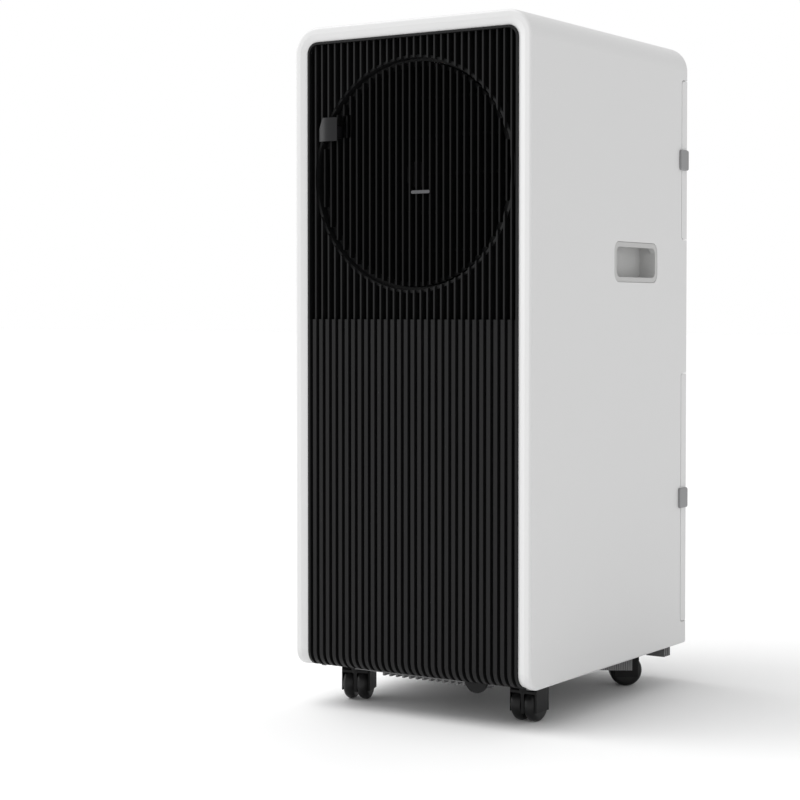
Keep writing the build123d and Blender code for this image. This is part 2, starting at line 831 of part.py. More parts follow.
# ================================================================ compressor
compressor_x = -70.0
compressor_y = -45.0
compressor_z = (62.0, 262.0)
compressor_radius = 54.0
tank_place = (-14.0, -92.0)
tank_z = (90.0, 230.0)
foot_circle = 44.0
foot_places = [
    (
        compressor_x + foot_circle * math.cos(math.radians(angle)),
        compressor_y + foot_circle * math.sin(math.radians(angle)),
    )
    for angle in (90, 210, 330)
]
with BuildPart() as compressor:
    round_along_z(compressor_radius, (compressor_z[0] + 5, compressor_z[1]), compressor_x, compressor_y)
    fillet(edges().filter_by(GeomType.CIRCLE).sort_by(Axis.Z)[-1], 22)
    round_along_z(compressor_radius - 1, (compressor_z[0], compressor_z[0] + 6), compressor_x, compressor_y)
    round_along_z(compressor_radius + 1.5, (150, 158), compressor_x, compressor_y)
    round_along_z(19, tank_z, *tank_place)
    box_between((-36, -20), (-92, -70), (140, 160))
    box_between((-88, -52), (-112, -90), (175, 205))
    round_along_z(
        compressor_radius - 12,
        (compressor_z[0] - 1, compressor_z[1] - 16),
        compressor_x,
        compressor_y,
        mode=Mode.SUBTRACT,
    )
save(compressor, "compressor")

with BuildPart() as compressor_feet:
    for place in foot_places:
        round_along_z(8, (pan_floor, compressor_z[0]), *place)
        round_along_z(6.5, (pan_floor + 5, compressor_z[0] - 5), *place, mode=Mode.SUBTRACT)
        round_along_z(5, (pan_floor + 4, compressor_z[0] - 4), *place)
save(compressor_feet, "compressor_feet")

# ============================================================ cooling pipes
pipe_radius = 4.0
pipe_bend = 6.0
coil_end = (-tube_bend_x, tube_y)
pipe_routes = (
    (
        (compressor_x, compressor_y, compressor_z[1]),
        (compressor_x, compressor_y, condenser_tube_z[-1]),
        (-132, compressor_y, condenser_tube_z[-1]),
        (-132, tube_y, condenser_tube_z[-1]),
        (*coil_end, condenser_tube_z[-1]),
    ),
    (
        (*coil_end, condenser_tube_z[0]),
        (-123, tube_y, condenser_tube_z[0]),
        (-123, 105, condenser_tube_z[0]),
        (-123, 105, evaporator_tube_z[0]),
        (-123, tube_y, evaporator_tube_z[0]),
        (*coil_end, evaporator_tube_z[0]),
    ),
    (
        (*coil_end, evaporator_tube_z[-1]),
        (-123, tube_y, evaporator_tube_z[-1]),
        (-123, -20, evaporator_tube_z[-1]),
        (-123, -20, 330),
        (-123, tank_place[1], 330),
        (tank_place[0], tank_place[1], 330),
        (*tank_place, tank_z[1]),
    ),
)
with BuildPart() as refrigerant_pipes:
    for corners in pipe_routes:
        with BuildLine() as route:
            FilletPolyline(*corners, radius=pipe_bend)
        with BuildSketch(Plane(origin=route.line @ 0, z_dir=route.line % 0)):
            Circle(pipe_radius)
        sweep(path=route.line)
save(refrigerant_pipes, "refrigerant_pipes")

# ================================================================ electrics
box_z = (268.0, 400.0)
capacitor_place = (85.0, -110.0)
with BuildPart() as electrics_box:
    box_between((30, 125), (-145, -75), box_z)
    fillet(edges().filter_by(Axis.Z), 4)
    box_between((27, 128), (-76, -74), (box_z[0] + 6, box_z[1] - 6))
save(electrics_box, "electrics_box")

with BuildPart() as capacitor:
    round_along_z(20, (box_z[0] - 65, box_z[0]), *capacitor_place)
    fillet(edges().filter_by(GeomType.CIRCLE).sort_by(Axis.Z)[0], 3)
save(capacitor, "capacitor")

# ============================================================ control panel
panel_top = height - 0.6
panel_low = height - 6.0
button_places = [(x, panel_y) for x in button_x]
with BuildPart() as control_panel:
    with BuildSketch(Plane.XY.offset(panel_low)):
        with Locations((0, panel_y)):
            RectangleRounded(panel_size[0] + 8, panel_size[1] + 8, 13)
    extrude(amount=height - wall - fit - panel_low)
    with BuildSketch(Plane.XY.offset(panel_low)):
        with Locations((0, panel_y)):
            RectangleRounded(*panel_size, 9.85)
    extrude(amount=panel_top - panel_low)
    chamfer(faces().sort_by(Axis.Z)[-1].edges(), 0.5)
    for place in button_places:
        round_along_z(
            button_radius + fit, (panel_low - 1, height), *place, mode=Mode.SUBTRACT
        )
    with Locations((display_x, panel_y, height)):
        Box(display_size[0] + 0.4, display_size[1] + 0.4, 8, mode=Mode.SUBTRACT)
        Box(display_size[0] - 4, display_size[1] - 4, 16, mode=Mode.SUBTRACT)
    for x in (-76, 84):
        for y in (-24, 24):
            round_along_z(3, (height - 12.3, panel_low), x, panel_y + y)
save(control_panel, "control_panel")

with BuildPart() as display_lens:
    box_between(
        (display_x - display_size[0] / 2, display_x + display_size[0] / 2),
        (panel_y - display_size[1] / 2, panel_y + display_size[1] / 2),
        (height - 3.9, panel_top - 0.2),
    )
    fillet(edges().filter_by(Axis.Z), 2)
save(display_lens, "display_lens")

with BuildPart() as control_board:
    box_between((-82, 88), (panel_y - 28, panel_y + 28), (height - 14, height - 12.4))
    box_between((-68, -28), (panel_y - 9, panel_y + 9), (height - 12.5, height - 9))
    for x, y in button_places:
        box_between((x - 3, x + 3), (y - 3, y + 3), (height - 12.5, height - 9.8))
save(control_board, "control_board")

for label, place in zip(button_names, button_places):
    with BuildPart() as button:
        round_along_z(button_radius, (height - 8, height - 0.1), *place)
        fillet(edges().filter_by(GeomType.CIRCLE).sort_by(Axis.Z)[-1], 0.8)
        round_along_z(button_radius + 1.3, (height - 8, height - 6.3), *place)
    save(button, f"button_{label}")

# ================================================================== handles
handle_face = half_width - 0.2
handle_floor = handle_face - handle_depth
with BuildPart() as handle_right:
    with BuildSketch(Plane.YZ.offset(half_width - 2 * wall - fit)):
        with Locations((handle_y, handle_z)):
            RectangleRounded(
                handle_bezel[0] + 2 * handle_lip, handle_bezel[1] + 2 * handle_lip - 3, 12
            )
    extrude(amount=wall)
    with BuildSketch(Plane.YZ.offset(half_width - 2 * wall - fit)):
        with Locations((handle_y, handle_z)):
            RectangleRounded(*handle_bezel, 9.85)
    extrude(amount=handle_face - half_width + 2 * wall + fit)
    chamfer(faces().sort_by(Axis.X)[-1].edges(), 0.6)
    with BuildSketch(Plane.YZ.offset(handle_floor - handle_wall)):
        with Locations((handle_y, handle_z + hook_height / 2)):
            RectangleRounded(
                handle_mouth[0] + 2 * handle_wall,
                handle_mouth[1] + 2 * handle_wall + hook_height,
                8,
            )
    extrude(amount=handle_depth - 1)
    with BuildSketch(Plane.YZ.offset(handle_floor)):
        with Locations((handle_y, handle_z)):
            RectangleRounded(*handle_mouth, 7)
    extrude(amount=handle_depth + 1, mode=Mode.SUBTRACT)
    with BuildSketch(Plane.YZ.offset(handle_floor)):
        with Locations((handle_y, handle_z + hook_height / 2)):
            RectangleRounded(handle_mouth[0], handle_mouth[1] + hook_height, 7)
    extrude(amount=handle_depth - 6, mode=Mode.SUBTRACT)
save(handle_right, "handle_right")

with BuildPart() as handle_left:
    add(mirror(handle_right.part, about=Plane.YZ, mode=Mode.PRIVATE))
save(handle_left, "handle_left")

# ================================================================= base pan
pan_half = half_width - wall - 0.6
pan_y = (panel_rear + 0.5, rear_y - 15)
belly_half = 126.0
belly_y = (-148.0, 158.0)
belly_bottom = 38.5
wedge_low = 24.0
wedge_front = -25.0
wedge_rear = 74.0
tail_y = (151.0, 165.5)
tail_low = 27.0
drain_place = (50.0, -115.0)
drain_bore = 4.0
with BuildPart() as base_pan:
    box_between((-pan_half, pan_half), pan_y, (pan_bottom, pan_rim))
    box_between(
        (-pan_half + wall, pan_half - wall),
        (pan_y[0] + wall, pan_y[1] - wall),
        (pan_floor, pan_rim + 1),
        mode=Mode.SUBTRACT,
    )
    box_between((-belly_half, belly_half), belly_y, (belly_bottom, pan_floor))
    for x in range(-48, 49, 8):
        box_between((x - 1.2, x + 1.2), (-148, -124), (belly_bottom - 3, belly_bottom))
    for y in (-60, 0, 60):
        box_between((-60, 60), (y - 1.5, y + 1.5), (belly_bottom - 3, belly_bottom))
    for x, y, _ in casters.values():
        round_along_z(swivel_room, (belly_bottom - 10, pan_bottom), x, y, mode=Mode.SUBTRACT)
    # ribbed wedges in front of and behind the rear casters
    for side in (-1, 1):
        with BuildSketch(Plane.YZ.offset(side * 114)):
            with BuildLine():
                Polyline(
                    (wedge_front, belly_bottom + 1),
                    (wedge_rear, wedge_low),
                    (wedge_rear, wedge_low + 2),
                    (wedge_rear, belly_bottom + 1),
                    close=True,
                )
            make_face()
            with Locations((sum(tail_y) / 2, (tail_low + pan_bottom) / 2)):
                Rectangle(tail_y[1] - tail_y[0], pan_bottom - tail_low)
        extrude(amount=11, both=True)
        for index in range(24):
            y = wedge_front + 6 + 4.2 * index
            box_between(
                sorted((side * 104.5, side * 126)),
                (y - 1.2, y + 1.2),
                (wedge_low - 1, belly_bottom - 0.5),
                mode=Mode.SUBTRACT,
            )
        for index in range(3):
            y = tail_y[0] + 3.8 + 4.2 * index
            box_between(
                sorted((side * 104.5, side * 126)),
                (y - 1.2, y + 1.2),
                (tail_low - 1, belly_bottom + 4),
                mode=Mode.SUBTRACT,
            )
    for x in (-80, 80):
        box_between((x - 2.5, x + 2.5), coil_y, (pan_floor, 70))
    for x in (10, 70):
        box_between((x - 2.5, x + 2.5), (scroll_y[0] + 4, scroll_y[1] - 4), (pan_floor, 144))
    for x, y, _ in casters.values():
        round_along_z(socket_radius, (pan_bottom, stem_top + 2), x, y)
        round_along_z(stem_radius, (belly_bottom, stem_top), x, y, mode=Mode.SUBTRACT)
    round_along_z(12, (belly_bottom - 9, belly_bottom + 1), *drain_place)
    round_along_z(drain_bore, (20, pan_floor + 1), *drain_place, mode=Mode.SUBTRACT)
save(base_pan, "base_pan")

# ================================================================== casters
with BuildPart() as caster_stems:
    for x, y, _ in casters.values():
        round_along_z(stem_radius, (stem_bottom, stem_top), x, y)
save(caster_stems, "caster_stems")

# one caster at the origin, trailing towards +Y
with BuildPart() as hood_shape:
    with Locations((0, caster_trail, wheel_radius)):
        Cylinder(hood_outer, 2 * hood_half, rotation=(0, 90, 0))
    box_between(
        (-hood_half, hood_half),
        (caster_trail - hood_reach, caster_trail + hood_reach),
        (hood_low, wheel_radius + hood_outer),
        mode=Mode.INTERSECT,
    )
    fillet(edges().filter_by(Axis.Z), 2.5)
    round_along_z(7, (wheel_radius, pan_bottom - 0.5))
    with Locations((0, caster_trail, wheel_radius)):
        Cylinder(hood_inner, 2 * skirt_inside, rotation=(0, 90, 0), mode=Mode.SUBTRACT)
    with BuildSketch(Plane.YZ) as web:
        with Locations((caster_trail, wheel_radius)):
            Circle(hood_inner + 0.5)
        with Locations((caster_trail, wheel_radius + 6)):
            Rectangle(2 * hood_reach, 2 * (wheel_radius + 6 - 9), mode=Mode.INTERSECT)
    extrude(amount=web_half, both=True)
    with Locations((0, caster_trail, wheel_radius)):
        Cylinder(
            axle_radius + running_gap / 2, 2 * skirt_inside, rotation=(0, 90, 0), mode=Mode.SUBTRACT
        )
    round_along_z(
        stem_radius + running_gap, (stem_bottom - 0.4, pan_bottom), mode=Mode.SUBTRACT
    )

with BuildPart() as axle_shape:
    with Locations((0, caster_trail, wheel_radius)):
        Cylinder(axle_radius, 2 * axle_half, rotation=(0, 90, 0))
    chamfer(edges().filter_by(GeomType.CIRCLE), 0.5)

crown_x = (wheel_gap + wheel_half_span) / 2 + 0.9
with BuildPart() as wheels_shape:
    with BuildSketch(Plane.XY.offset(wheel_radius)):
        with BuildLine():
            Line((wheel_gap, caster_trail), (wheel_gap, caster_trail + wheel_edge_radius))
            ThreePointArc(
                (wheel_gap, caster_trail + wheel_edge_radius),
                (crown_x - 3, caster_trail + wheel_radius - 0.3),
                (crown_x, caster_trail + wheel_radius),
            )
            ThreePointArc(
                (crown_x, caster_trail + wheel_radius),
                (crown_x + 3.4, caster_trail + wheel_radius - 1.5),
                (wheel_half_span, caster_trail + wheel_face_radius),
            )
            Line(
                (wheel_half_span, caster_trail + wheel_face_radius), (wheel_half_span, caster_trail)
            )
            Line((wheel_half_span, caster_trail), (wheel_gap, caster_trail))
        make_face()
    revolve(axis=Axis((0, caster_trail, wheel_radius), (1, 0, 0)))
    with Locations((0, caster_trail, wheel_radius)):
        Cylinder(
            axle_radius + running_gap,
            2 * axle_half + 0.4,
            rotation=(0, 90, 0),
            mode=Mode.SUBTRACT,
        )
    mirror(about=Plane.YZ)

for corner, (x, y, turn) in casters.items():
    place = Location((x, y, 0), (0, 0, turn))
    with BuildPart() as hood:
        add(hood_shape.part.moved(place))
    save(hood, f"caster_hood_{corner}")
    with BuildPart() as axle:
        add(axle_shape.part.moved(place))
    save(axle, f"caster_axle_{corner}")
    with BuildPart() as wheels:
        add(wheels_shape.part.moved(place))
    save(wheels, f"caster_wheels_{corner}")
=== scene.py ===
"""Portable air conditioner: finishes, fine detail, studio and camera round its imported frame.

All positions are metres in the frame of the CAD model: the floor is z = 0, the front faces -Y
and the width runs along X.
"""

import json
import logging
import math
from dataclasses import dataclass
from enum import Enum
from typing import Callable, Iterable, Optional

import bmesh
import bpy
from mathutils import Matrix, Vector


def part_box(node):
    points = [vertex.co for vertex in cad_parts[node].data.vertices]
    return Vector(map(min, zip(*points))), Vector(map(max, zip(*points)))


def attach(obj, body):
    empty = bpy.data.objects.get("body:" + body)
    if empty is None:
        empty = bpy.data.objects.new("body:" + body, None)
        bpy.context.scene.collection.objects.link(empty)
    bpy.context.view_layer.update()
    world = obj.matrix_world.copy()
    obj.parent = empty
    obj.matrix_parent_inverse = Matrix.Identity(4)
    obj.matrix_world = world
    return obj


Triple = tuple[float, float, float]

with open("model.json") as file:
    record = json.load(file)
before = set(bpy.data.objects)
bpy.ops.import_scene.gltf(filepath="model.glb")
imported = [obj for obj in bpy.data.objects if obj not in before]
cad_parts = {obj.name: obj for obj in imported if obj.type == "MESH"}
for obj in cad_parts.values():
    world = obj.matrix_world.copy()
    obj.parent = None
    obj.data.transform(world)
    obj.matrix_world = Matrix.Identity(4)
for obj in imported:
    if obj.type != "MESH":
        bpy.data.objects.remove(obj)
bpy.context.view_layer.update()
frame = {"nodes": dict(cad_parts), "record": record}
log = logging.getLogger("air_conditioner")

CORNERS = ("front_left", "front_right", "rear_left", "rear_right")
BUTTONS = ("power", "mode", "fan", "cooler", "warmer")


class Side(Enum):
    """Which way along X a mirrored piece faces."""

    LEFT = -1
    RIGHT = 1


class Icon(Enum):
    """Plain marks moulded on the control buttons."""

    POWER = "power"
    MODE = "mode"
    FAN = "fan"
    COOLER = "cooler"
    WARMER = "warmer"


# ------------------------------------------------------------------ node groups


@dataclass
class EffectGroup:
    """A shader node group being put together.

    Attributes:
        name: name of the group.
    """

    name: str

    def __post_init__(self) -> None:
        """Start an empty group with its input and output nodes."""
        self.tree = bpy.data.node_groups.new(self.name, "ShaderNodeTree")
        self.inlet = self.tree.nodes.new("NodeGroupInput")
        self.outlet = self.tree.nodes.new("NodeGroupOutput")

    def socket(self, name: str, kind: str, leaving: bool = False, value: object = None) -> None:
        """Add a socket to the group.

        Args:
            name: name of the socket.
            kind: Float or Color.
            leaving: True for an output.
            value: default of an input.
        """
        made = self.tree.interface.new_socket(
            name=name, in_out="OUTPUT" if leaving else "INPUT", socket_type=f"NodeSocket{kind}"
        )
        if value is not None:
            made.default_value = value

    def node(self, kind: str, **settings: object) -> bpy.types.Node:
        """Add a node.

        Args:
            kind: end of the node's type name.
            settings: properties to set on it.

        Returns:
            The new node.
        """
        made = self.tree.nodes.new(f"ShaderNode{kind}")
        for key, value in settings.items():
            setattr(made, key, value)
        return made

    def link(self, source: bpy.types.NodeSocket, target: bpy.types.NodeSocket) -> None:
        """Join two sockets."""
        self.tree.links.new(source, target)


def make_grain() -> bpy.types.NodeTree:
    """Build the spark-eroded grain of a moulding.

    Returns:
        A group that gives a Height and a Mask from Scale and Softness.
    """
    group = EffectGroup("moulded_grain")
    group.socket("Scale", "Float", value=900.0)
    group.socket("Softness", "Float", value=0.5)
    group.socket("Height", "Float", leaving=True)
    group.socket("Mask", "Float", leaving=True)
    place = group.node("TexCoord")
    noise = group.node("TexNoise", noise_dimensions="3D")
    noise.inputs["Detail"].default_value = 3.0
    cells = group.node("TexVoronoi", feature="SMOOTH_F1")
    mix = group.node("Mix", data_type="FLOAT")
    ramp = group.node("MapRange", interpolation_type="SMOOTHSTEP")
    ramp.inputs["From Min"].default_value = 0.35
    ramp.inputs["From Max"].default_value = 0.65
    group.link(place.outputs["Object"], noise.inputs["Vector"])
    group.link(place.outputs["Object"], cells.inputs["Vector"])
    group.link(group.inlet.outputs["Scale"], noise.inputs["Scale"])
    group.link(group.inlet.outputs["Scale"], cells.inputs["Scale"])
    group.link(group.inlet.outputs["Softness"], mix.inputs[0])
    group.link(cells.outputs["Distance"], mix.inputs[2])
    group.link(noise.outputs["Fac"], mix.inputs[3])
    group.link(mix.outputs[0], group.outlet.inputs["Height"])
    group.link(noise.outputs["Fac"], ramp.inputs["Value"])
    group.link(ramp.outputs["Result"], group.outlet.inputs["Mask"])
    return group.tree


def make_drift() -> bpy.types.NodeTree:
    """Build the slow change of tone and gloss over a large surface.

    Returns:
        A group that gives Colour and Roughness, each moved a little by a wide noise.
    """
    group = EffectGroup("surface_drift")
    group.socket("Colour", "Color", value=(0.8, 0.8, 0.8, 1.0))
    group.socket("Roughness", "Float", value=0.4)
    group.socket("Scale", "Float", value=6.0)
    group.socket("Tone", "Float", value=0.03)
    group.socket("Gloss", "Float", value=0.05)
    group.socket("Colour", "Color", leaving=True)
    group.socket("Roughness", "Float", leaving=True)
    place = group.node("TexCoord")
    noise = group.node("TexNoise", noise_dimensions="3D")
    noise.inputs["Detail"].default_value = 5.0
    noise.inputs["Roughness"].default_value = 0.6
    centred = group.node("Math", operation="SUBTRACT")
    centred.inputs[1].default_value = 0.5
    tone = group.node("Math", operation="MULTIPLY_ADD")
    tone.inputs[2].default_value = 1.0
    tint = group.node("VectorMath", operation="SCALE")
    gloss = group.node("Math", operation="MULTIPLY_ADD")
    group.link(place.outputs["Object"], noise.inputs["Vector"])
    group.link(group.inlet.outputs["Scale"], noise.inputs["Scale"])
    group.link(noise.outputs["Fac"], centred.inputs[0])
    group.link(centred.outputs[0], tone.inputs[0])
    group.link(group.inlet.outputs["Tone"], tone.inputs[1])
    group.link(group.inlet.outputs["Colour"], tint.inputs[0])
    group.link(tone.outputs[0], tint.inputs["Scale"])
    group.link(tint.outputs[0], group.outlet.inputs["Colour"])
    group.link(centred.outputs[0], gloss.inputs[0])
    group.link(group.inlet.outputs["Gloss"], gloss.inputs[1])
    group.link(group.inlet.outputs["Roughness"], gloss.inputs[2])
    group.link(gloss.outputs[0], group.outlet.inputs["Roughness"])
    return group.tree


def make_dust() -> bpy.types.NodeTree:
    """Build the film of dust that settles on faces turned upwards.

    Returns:
        A group that gives the Colour and Roughness of a dusted surface.
    """
    group = EffectGroup("settled_dust")
    group.socket("Colour", "Color", value=(0.8, 0.8, 0.8, 1.0))
    group.socket("Roughness", "Float", value=0.4)
    group.socket("Amount", "Float", value=0.1)
    group.socket("Colour", "Color", leaving=True)
    group.socket("Roughness", "Float", leaving=True)
    place = group.node("TexCoord")
    facing = group.node("NewGeometry")
    split = group.node("SeparateXYZ")
    upward = group.node("MapRange")
    upward.inputs["From Min"].default_value = 0.2
    upward.inputs["From Max"].default_value = 1.0
    noise = group.node("TexNoise", noise_dimensions="3D")
    noise.inputs["Scale"].default_value = 35.0
    noise.inputs["Detail"].default_value = 6.0
    patches = group.node("MapRange")
    patches.inputs["From Min"].default_value = 0.3
    patches.inputs["From Max"].default_value = 0.75
    film = group.node("Math", operation="MULTIPLY")
    cover = group.node("Math", operation="MULTIPLY")
    colour = group.node("Mix", data_type="RGBA")
    colour.inputs[7].default_value = (0.55, 0.53, 0.5, 1.0)
    rough = group.node("Mix", data_type="FLOAT")
    rough.inputs[3].default_value = 0.9
    group.link(place.outputs["Object"], noise.inputs["Vector"])
    group.link(facing.outputs["Normal"], split.inputs[0])
    group.link(split.outputs["Z"], upward.inputs["Value"])
    group.link(noise.outputs["Fac"], patches.inputs["Value"])
    group.link(upward.outputs["Result"], film.inputs[0])
    group.link(patches.outputs["Result"], film.inputs[1])
    group.link(film.outputs[0], cover.inputs[0])
    group.link(group.inlet.outputs["Amount"], cover.inputs[1])
    group.link(cover.outputs[0], colour.inputs[0])
    group.link(group.inlet.outputs["Colour"], colour.inputs[6])
    group.link(colour.outputs[2], group.outlet.inputs["Colour"])
    group.link(cover.outputs[0], rough.inputs[0])
    group.link(group.inlet.outputs["Roughness"], rough.inputs[2])
    group.link(rough.outputs[0], group.outlet.inputs["Roughness"])
    return group.tree


EFFECTS: dict[str, bpy.types.NodeTree] = {}


# ---------------------------------------------------------------------- finishes


@dataclass(frozen=True)
class Finish:
    """A moulded, painted or bare surface.

    Attributes:
        name: name of the material.
        colour: base colour, linear.
        roughness: middle value of the roughness.
        grain_scale: how many grains to the metre.
        grain_depth: height of the grain in metres.
        softness: 0 for pebbled grain, 1 for soft waves.
        tone: how far the colour drifts.
        gloss: how far the roughness drifts.
        drift_scale: size of the drift, in patches to the metre.
        dust: how much dust lies on faces turned upwards.
        metallic: 1 for bare metal.
        coat: weight of a clear coat.
        grain_gloss: how far the grain moves the roughness.
        specular: strength of the mirror-like reflection, 0.5 for plain plastic.
    """

    name: str
    colour: Triple
    roughness: float
    grain_scale: float = 900.0
    grain_depth: float = 0.00002
    softness: float = 0.5
    tone: float = 0.05
    gloss: float = 0.08
    drift_scale: float = 7.0
    dust: float = 0.0
    metallic: float = 0.0
    coat: float = 0.0
    grain_gloss: float = 0.06
    specular: float = 0.5

    def build(self) -> bpy.types.Material:
        """Make the material.

        Returns:
            A new node material.
        """
        material = bpy.data.materials.new(self.name)
        material.use_nodes = True
        material.diffuse_color = (*self.colour, 1.0)
        tree = material.node_tree
        nodes = tree.nodes
        shader = nodes["Principled BSDF"]
        shader.inputs["Metallic"].default_value = self.metallic
        shader.inputs["Specular IOR Level"].default_value = self.specular
        shader.inputs["Coat Weight"].default_value = self.coat
        shader.inputs["Coat Roughness"].default_value = 0.08
        drift = self.effect(tree, "surface_drift")
        drift.inputs["Colour"].default_value = (*self.colour, 1.0)
        drift.inputs["Roughness"].default_value = self.roughness
        drift.inputs["Scale"].default_value = self.drift_scale
        drift.inputs["Tone"].default_value = self.tone
        drift.inputs["Gloss"].default_value = self.gloss
        grain = self.effect(tree, "moulded_grain")
        grain.inputs["Scale"].default_value = self.grain_scale
        grain.inputs["Softness"].default_value = self.softness
        dust = self.effect(tree, "settled_dust")
        dust.inputs["Amount"].default_value = self.dust
        speckle = nodes.new("ShaderNodeMath")
        speckle.operation = "MULTIPLY_ADD"
        speckle.inputs[1].default_value = self.grain_gloss
        bump = nodes.new("ShaderNodeBump")
        bump.inputs["Strength"].default_value = 1.0
        bump.inputs["Distance"].default_value = self.grain_depth
        tree.links.new(drift.outputs["Colour"], dust.inputs["Colour"])
        tree.links.new(grain.outputs["Mask"], speckle.inputs[0])
        tree.links.new(drift.outputs["Roughness"], speckle.inputs[2])
        tree.links.new(speckle.outputs[0], dust.inputs["Roughness"])
        tree.links.new(dust.outputs["Colour"], shader.inputs["Base Color"])
        tree.links.new(dust.outputs["Roughness"], shader.inputs["Roughness"])
        tree.links.new(grain.outputs["Height"], bump.inputs["Height"])
        tree.links.new(bump.outputs["Normal"], shader.inputs["Normal"])
        return material

    @staticmethod
    def effect(tree: bpy.types.NodeTree, name: str) -> bpy.types.Node:
        """Place a shared effect in a material.

        Args:
            tree: node tree of the material.
            name: name of the effect.

        Returns:
            The group node.
        """
        node = tree.nodes.new("ShaderNodeGroup")
        node.node_tree = EFFECTS[name]
        return node


@dataclass(frozen=True)
class BrushedFinish(Finish):
    """Bare metal with fine lines along one axis.

    Attributes:
        along: stretch of the lines along X, Y and Z.
    """

    along: Triple = (1.0, 1.0, 0.02)

    def build(self) -> bpy.types.Material:
        """Make the material with its grain stretched into lines.

        Returns:
            A new node material.
        """
        material = super().build()
        tree = material.node_tree
        place = tree.nodes.new("ShaderNodeTexCoord")
        stretch = tree.nodes.new("ShaderNodeMapping")
        stretch.inputs["Scale"].default_value = self.along
        lines = tree.nodes.new("ShaderNodeTexNoise")
        lines.inputs["Scale"].default_value = self.grain_scale
        lines.inputs["Detail"].default_value = 2.0
        bump = next(node for node in tree.nodes if node.type == "BUMP")
        tree.links.new(place.outputs["Object"], stretch.inputs["Vector"])
        tree.links.new(stretch.outputs["Vector"], lines.inputs["Vector"])
        tree.links.new(lines.outputs["Fac"], bump.inputs["Height"])
        return material


WHITE_PAINT = Finish(
    "casing_white_paint", (0.70, 0.70, 0.70), 0.34, 420.0, 0.000012, 1.0, 0.015, 0.05, 5.0
)
WHITE_MOULDING = Finish(
    "white_moulding", (0.73, 0.73, 0.725), 0.42, 1100.0, 0.00002, 0.4, 0.02, 0.06, 6.0
)
# Painted shade: a darker copy of the white moulding, 0.50 against 0.73, put on the handles' finger
# recesses to stand for the shade inside them.
RECESS_PAINTED_SHADE = Finish(
    "finger_recess_painted_shade", (0.50, 0.50, 0.495), 0.45, 1100.0, 0.00002, 0.4, 0.02, 0.06, 6.0
)
BLACK_FRONT = Finish(
    "ribbed_front_black", (0.0065, 0.0065, 0.0068), 0.46, 1300.0, 0.00002, 0.35, 0.25, 0.08, 9.0,
    specular=0.22,
)
# Painted shade: a darker, less reflective copy of the front black (0.004 against 0.0065, specular 0.14
# against 0.22), so the recessed round grille and its ring look shaded.
BLACK_GRILLE_PAINTED_SHADE = Finish(
    "round_grille_black_painted_shade", (0.004, 0.004, 0.0042), 0.40, 1300.0, 0.00002, 0.35, 0.25, 0.08, 9.0,
    specular=0.14,
)
GLOSS_BLACK = Finish(
    "grip_tab_gloss_black", (0.010, 0.010, 0.011), 0.3, 800.0, 0.000004, 1.0, 0.1, 0.04, 20.0,
    specular=0.3,
)
SILVER_TRIM = BrushedFinish(
    "trim_bar_silver", (0.12, 0.12, 0.125), 0.4, 1800.0, 0.000008, 1.0, 0.05, 0.05, 30.0,
    metallic=1.0, along=(0.03, 1.0, 1.0),
)
DARK_PLASTIC = Finish("inner_dark_plastic", (0.02, 0.02, 0.021), 0.55, 900.0, dust=0.25)
MOTOR_PAINT = Finish("motor_grey_paint", (0.12, 0.125, 0.13), 0.45, 500.0, dust=0.2)
GROUND_STEEL = BrushedFinish(
    "ground_steel", (0.52, 0.52, 0.53), 0.3, 2500.0, 0.00001, 1.0, 0.06, 0.08, 25.0,
    metallic=1.0, along=(1.0, 0.03, 1.0),
)
SCREW_STEEL = BrushedFinish(
    "screw_plated_steel", (0.42, 0.42, 0.41), 0.34, 2500.0, 0.00001, 1.0, 0.08, 0.1, 60.0,
    metallic=1.0, along=(0.2, 1.0, 0.2),
)
FIN_ALUMINIUM = BrushedFinish(
    "coil_fin_aluminium", (0.72, 0.73, 0.75), 0.38, 1500.0, 0.00002, 1.0, 0.1, 0.1, 12.0,
    metallic=1.0, along=(1.0, 1.0, 0.05),
)
COPPER = Finish(
    "drawn_copper", (0.75, 0.35, 0.2), 0.3, 700.0, 0.00001, 1.0, 0.25, 0.15, 30.0, metallic=1.0
)
PALE_FOAM = Finish("moulded_foam", (0.62, 0.62, 0.61), 0.85, 350.0, 0.0003, 0.2, 0.08)
MID_GREY = Finish("collar_grey_plastic", (0.28, 0.28, 0.285), 0.48, 1000.0, dust=0.05)
GREY_RUBBER = Finish("plug_grey_rubber", (0.3, 0.3, 0.3), 0.7, 1500.0, 0.00003)
BLACK_RUBBER = Finish("foot_black_rubber", (0.02, 0.02, 0.02), 0.75, 1500.0, 0.00003)
SCREEN_GREY = Finish("filter_dark_grey", (0.07, 0.072, 0.075), 0.6, 1400.0, dust=0.1)
TAB_GREY = Finish(
    "pull_tab_grey", (0.26, 0.26, 0.265), 0.4, 1100.0, 0.00002, 0.5, 0.04, 0.06, 20.0
)
COMPRESSOR_PAINT = Finish(
    "compressor_black_paint", (0.012, 0.012, 0.012), 0.28, 300.0, 0.00006, 1.0, 0.2, dust=0.3,
    coat=0.3,
)
BOX_GREY = Finish("electrics_grey_plastic", (0.33, 0.33, 0.34), 0.5, 900.0, dust=0.2)
CAN_ALUMINIUM = BrushedFinish(
    "capacitor_aluminium", (0.66, 0.66, 0.67), 0.3, 1600.0, 0.00001, 1.0, 0.05, 0.08, 20.0,
    metallic=1.0, along=(1.0, 1.0, 0.03),
)
DISPLAY_GLASS = Finish(
    "display_black_lens", (0.006, 0.006, 0.008), 0.07, 500.0, 0.000002, 1.0, 0.1, 0.02, 15.0,
    coat=0.6,
)
BOARD_GREEN = Finish("board_green_resist", (0.02, 0.12, 0.05), 0.35, 1200.0, coat=0.2)
BUTTON_GREY = Finish(
    "button_grey", (0.16, 0.16, 0.165), 0.42, 1300.0, 0.000015, 0.6, 0.04, 0.05, 30.0
)
